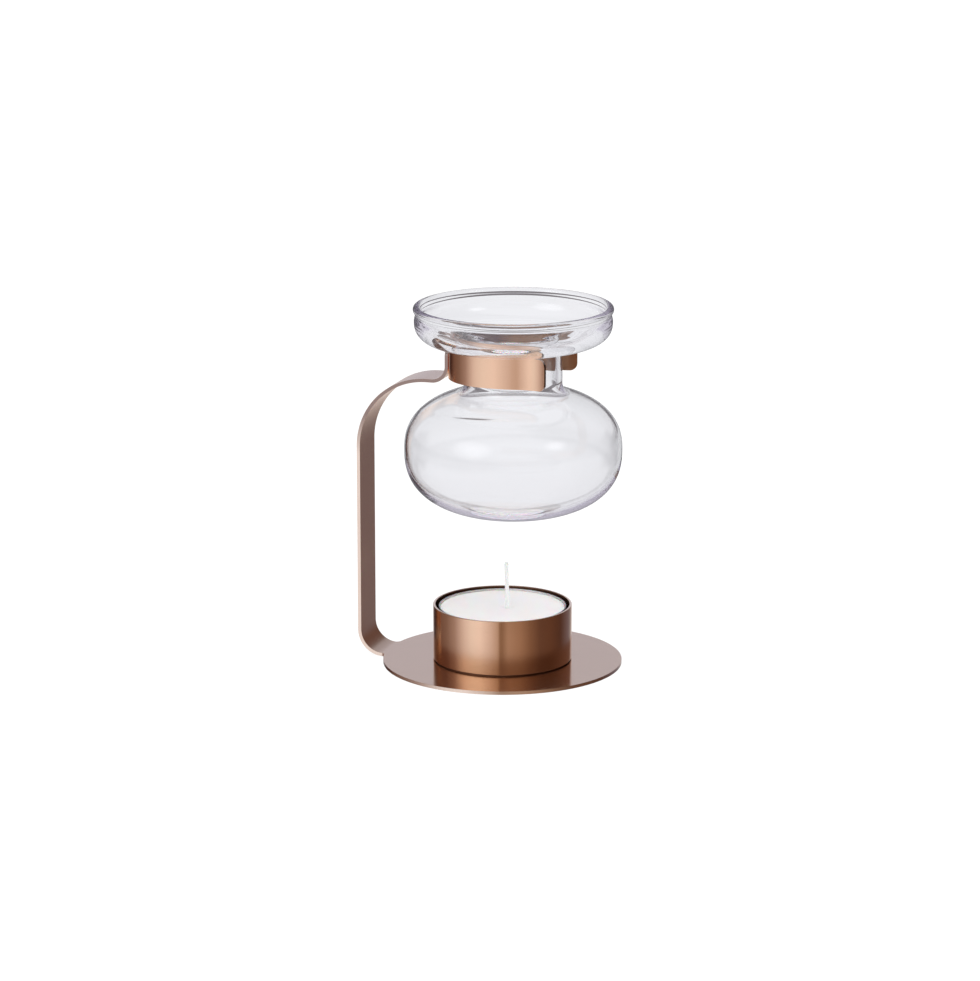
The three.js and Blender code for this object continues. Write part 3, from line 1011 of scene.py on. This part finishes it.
# The room as the metal mirrors it: a large soft box at the front left, dark on the right, light overhead
def room_light(tree, azimuth, height):
    upper, top = (0.12, 0.10, 0.10), (0.8, 0.8, 0.82)
    low_ring = light_ring(tree, azimuth, [
        (-180, (0.5, 0.47, 0.48)), (-168, (0.78, 0.76, 0.78)), (-156, (0.8, 0.78, 0.8)),
        (-146, (0.3, 0.28, 0.3)), (-138, (0.06, 0.04, 0.04)), (-123, (0.05, 0.02, 0.015)),
        (-106, (0.17, 0.10, 0.08)), (-88, (0.22, 0.15, 0.13)), (-68, (0.36, 0.28, 0.27)),
        (-47, (0.70, 0.64, 0.67)), (-34, (0.83, 0.80, 0.84)), (-20, (0.88, 0.82, 0.86)),
        (-3, (0.68, 0.60, 0.61)), (11, (0.50, 0.39, 0.34)), (13, (0.26, 0.17, 0.12)),
        (17, (0.26, 0.17, 0.12)), (27, (0.42, 0.30, 0.24)), (47, (0.35, 0.23, 0.17)),
        (65, (0.22, 0.13, 0.09)), (83, (0.13, 0.07, 0.05)), (104, (0.12, 0.06, 0.04)),
        (130, (0.08, 0.04, 0.03)), (159, (0.17, 0.14, 0.17)), (165, (0.2, 0.18, 0.2)),
        (172, (0.32, 0.3, 0.32)), (180, (0.5, 0.47, 0.48))])
    high_ring = light_ring(tree, azimuth, [
        (-180, (0.59, 0.65, 0.82)), (-150, (0.60, 0.66, 0.83)), (-138, (0.12, 0.08, 0.07)),
        (-110, (0.10, 0.05, 0.04)), (-88, (0.10, 0.05, 0.04)), (-68, (0.25, 0.18, 0.17)),
        (-47, (0.85, 0.82, 0.85)), (-34, (0.98, 1.02, 1.08)), (-20, (0.98, 1.02, 1.08)),
        (-3, (0.70, 0.66, 0.66)), (11, (0.42, 0.34, 0.28)), (13, (0.18, 0.11, 0.08)),
        (30, (0.25, 0.17, 0.13)), (47, (0.20, 0.13, 0.09)), (65, (0.10, 0.05, 0.03)),
        (83, (0.05, 0.02, 0.01)), (110, (0.05, 0.02, 0.01)), (150, (0.12, 0.07, 0.06)),
        (170, (0.15, 0.10, 0.10)), (176, (0.38, 0.39, 0.46)), (180, (0.59, 0.65, 0.82))])
    return stacked(tree, height, low_ring, [
        (-0.12, 0.12, high_ring), (0.38, 0.52, upper), (0.9, 0.98, top)])


# The white sheet behind the object as it shows through the glass, with dark bands at its edges
def sheet_light(tree, azimuth, height):
    white, pale, bright = (0.905, 0.912, 0.935), (0.8, 0.78, 0.8), (0.97, 0.97, 0.98)
    front, side, soft = (0.7, 0.68, 0.69), (0.66, 0.64, 0.65), (0.6, 0.58, 0.6)
    shade, dusk, dark = (0.16, 0.14, 0.15), (0.13, 0.12, 0.13), (0.08, 0.07, 0.08)
    low_sheet = light_ring(tree, azimuth, [
        (-180, white), (-60, pale), (-32, front), (18, side), (108, side), (140, pale), (150, white),
        (180, white)])
    sheet = light_ring(tree, azimuth, [
        (-180, white), (-152, white), (-148, dark), (-124, dark), (-112, soft), (-60, pale), (-32, front),
        (18, side), (122, side), (130, dusk), (142, dusk), (152, (0.5, 0.48, 0.51)), (168, white),
        (180, white)])
    sheet_edge = light_ring(tree, azimuth, [
        (-180, shade), (-60, (0.14, 0.13, 0.15)), (60, dark), (154, dark), (166, shade), (180, shade)])
    high_sheet = light_ring(tree, azimuth, [
        (-180, bright), (-160, white), (-97, pale), (50, soft), (78, soft), (88, dark), (150, dark),
        (157, pale), (180, bright)])
    top_sheet = light_ring(tree, azimuth, [
        (-180, white), (50, white), (84, dusk), (120, dusk), (140, white), (180, white)])
    return stacked(tree, height, low_sheet, [
        (-0.32, -0.26, sheet), (-0.09, -0.07, sheet_edge), (0.06, 0.09, high_sheet),
        (0.24, 0.28, top_sheet)])


# What the glass's own faces mirror: two soft lamps over pale sides
def glass_highlights(tree, azimuth, direction):
    lamp = (3.4, 3.4, 3.5)
    left_lamp = lamp_spot(tree, direction, -31, 0.42, 24, 3)
    right_lamp = lamp_spot(tree, direction, 70, 0.58, 13, 2)
    sides = light_ring(tree, azimuth, [
        (-180, (0.15, 0.15, 0.16)), (-100, (0.3, 0.3, 0.31)), (-66, (0.8, 0.8, 0.83)),
        (-20, (0.8, 0.8, 0.82)), (30, (0.7, 0.7, 0.72)), (66, (0.7, 0.7, 0.72)),
        (100, (0.12, 0.12, 0.12)), (180, (0.15, 0.15, 0.16))])
    return mixed(tree, right_lamp, mixed(tree, left_lamp, sides, lamp), lamp)


# A plain soft studio. Each kind of ray finds its own light: what the metal mirrors, the glass's
# highlights, what shows through the glass, the even light that falls on dull things, and the white backdrop.
def studio_light():
    even_light, backdrop = (1.65, 1.63, 1.62), (1, 1, 1)
    world = bpy.data.worlds.new("studio")
    bpy.context.scene.world = world
    world.use_nodes = True
    tree = world.node_tree
    tree.nodes.clear()
    direction = tree.nodes.new("ShaderNodeTexCoord").outputs["Generated"]
    parts = parts_of(tree, direction)
    azimuth = azimuth_of(tree, parts)
    ray = tree.nodes.new("ShaderNodeLightPath").outputs
    light = light_of(tree, room_light(tree, azimuth, parts["Z"]))
    for kind, colour in (
            ("Is Singular Ray", glass_highlights(tree, azimuth, direction)),
            ("Is Transmission Ray", sheet_light(tree, azimuth, parts["Z"])),
            ("Is Diffuse Ray", even_light),
            ("Is Camera Ray", backdrop)):
        light = either_light(tree, ray[kind], light, light_of(tree, colour))
    output = tree.nodes.new("ShaderNodeOutputWorld")
    tree.links.new(light, output.inputs["Surface"])


# The photograph's view: 18 degrees towards +X from straight ahead, looking down a little with a long lens
def photo_camera():
    azimuth = math.radians(18)
    pitch = 0.2414
    distance = 1.1658
    height = 0.3394
    sideways = 3.71 * mm
    data = bpy.data.cameras.new("photo_camera")
    data.lens = 148.95
    data.sensor_width = 36
    data.clip_start = 0.05
    data.clip_end = 60
    camera = bpy.data.objects.new("photo_camera", data)
    bpy.context.scene.collection.objects.link(camera)
    right = Vector((math.cos(azimuth), math.sin(azimuth), 0))
    forward = Vector((-math.sin(azimuth), math.cos(azimuth), 0))
    camera.location = -forward * distance - right * sideways + Z * height
    camera.rotation_euler = (quarter_turn - pitch, 0, azimuth)
    bpy.context.scene.camera = camera


# Glass over glass bends a ray many times before it leaves
def allow_bounces(bounces):
    light_paths = bpy.context.scene.cycles
    light_paths.max_bounces = bounces
    light_paths.glossy_bounces = bounces
    light_paths.transmission_bounces = bounces


copper, sheared = satin_copper(), sheared_copper_painted_light()
dress(base_and_arm(), copper, sheared)
dress(neck_collar(), copper, sheared, lining_copper_painted_shade())
dress(candle_cup(), copper, copper_painted_shade())
dress(tealight_pan(), drawn_aluminium())
dress(tealight_wax(), candle_wax())
dress(wick(), waxed_cotton())
dress(glass_vessel(), blown_glass())
dress(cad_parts["wick_sustainer"], tinned_steel())

studio_floor()
studio_light()
photo_camera()
allow_bounces(64)
bpy.context.scene.view_settings.view_transform = "Standard"
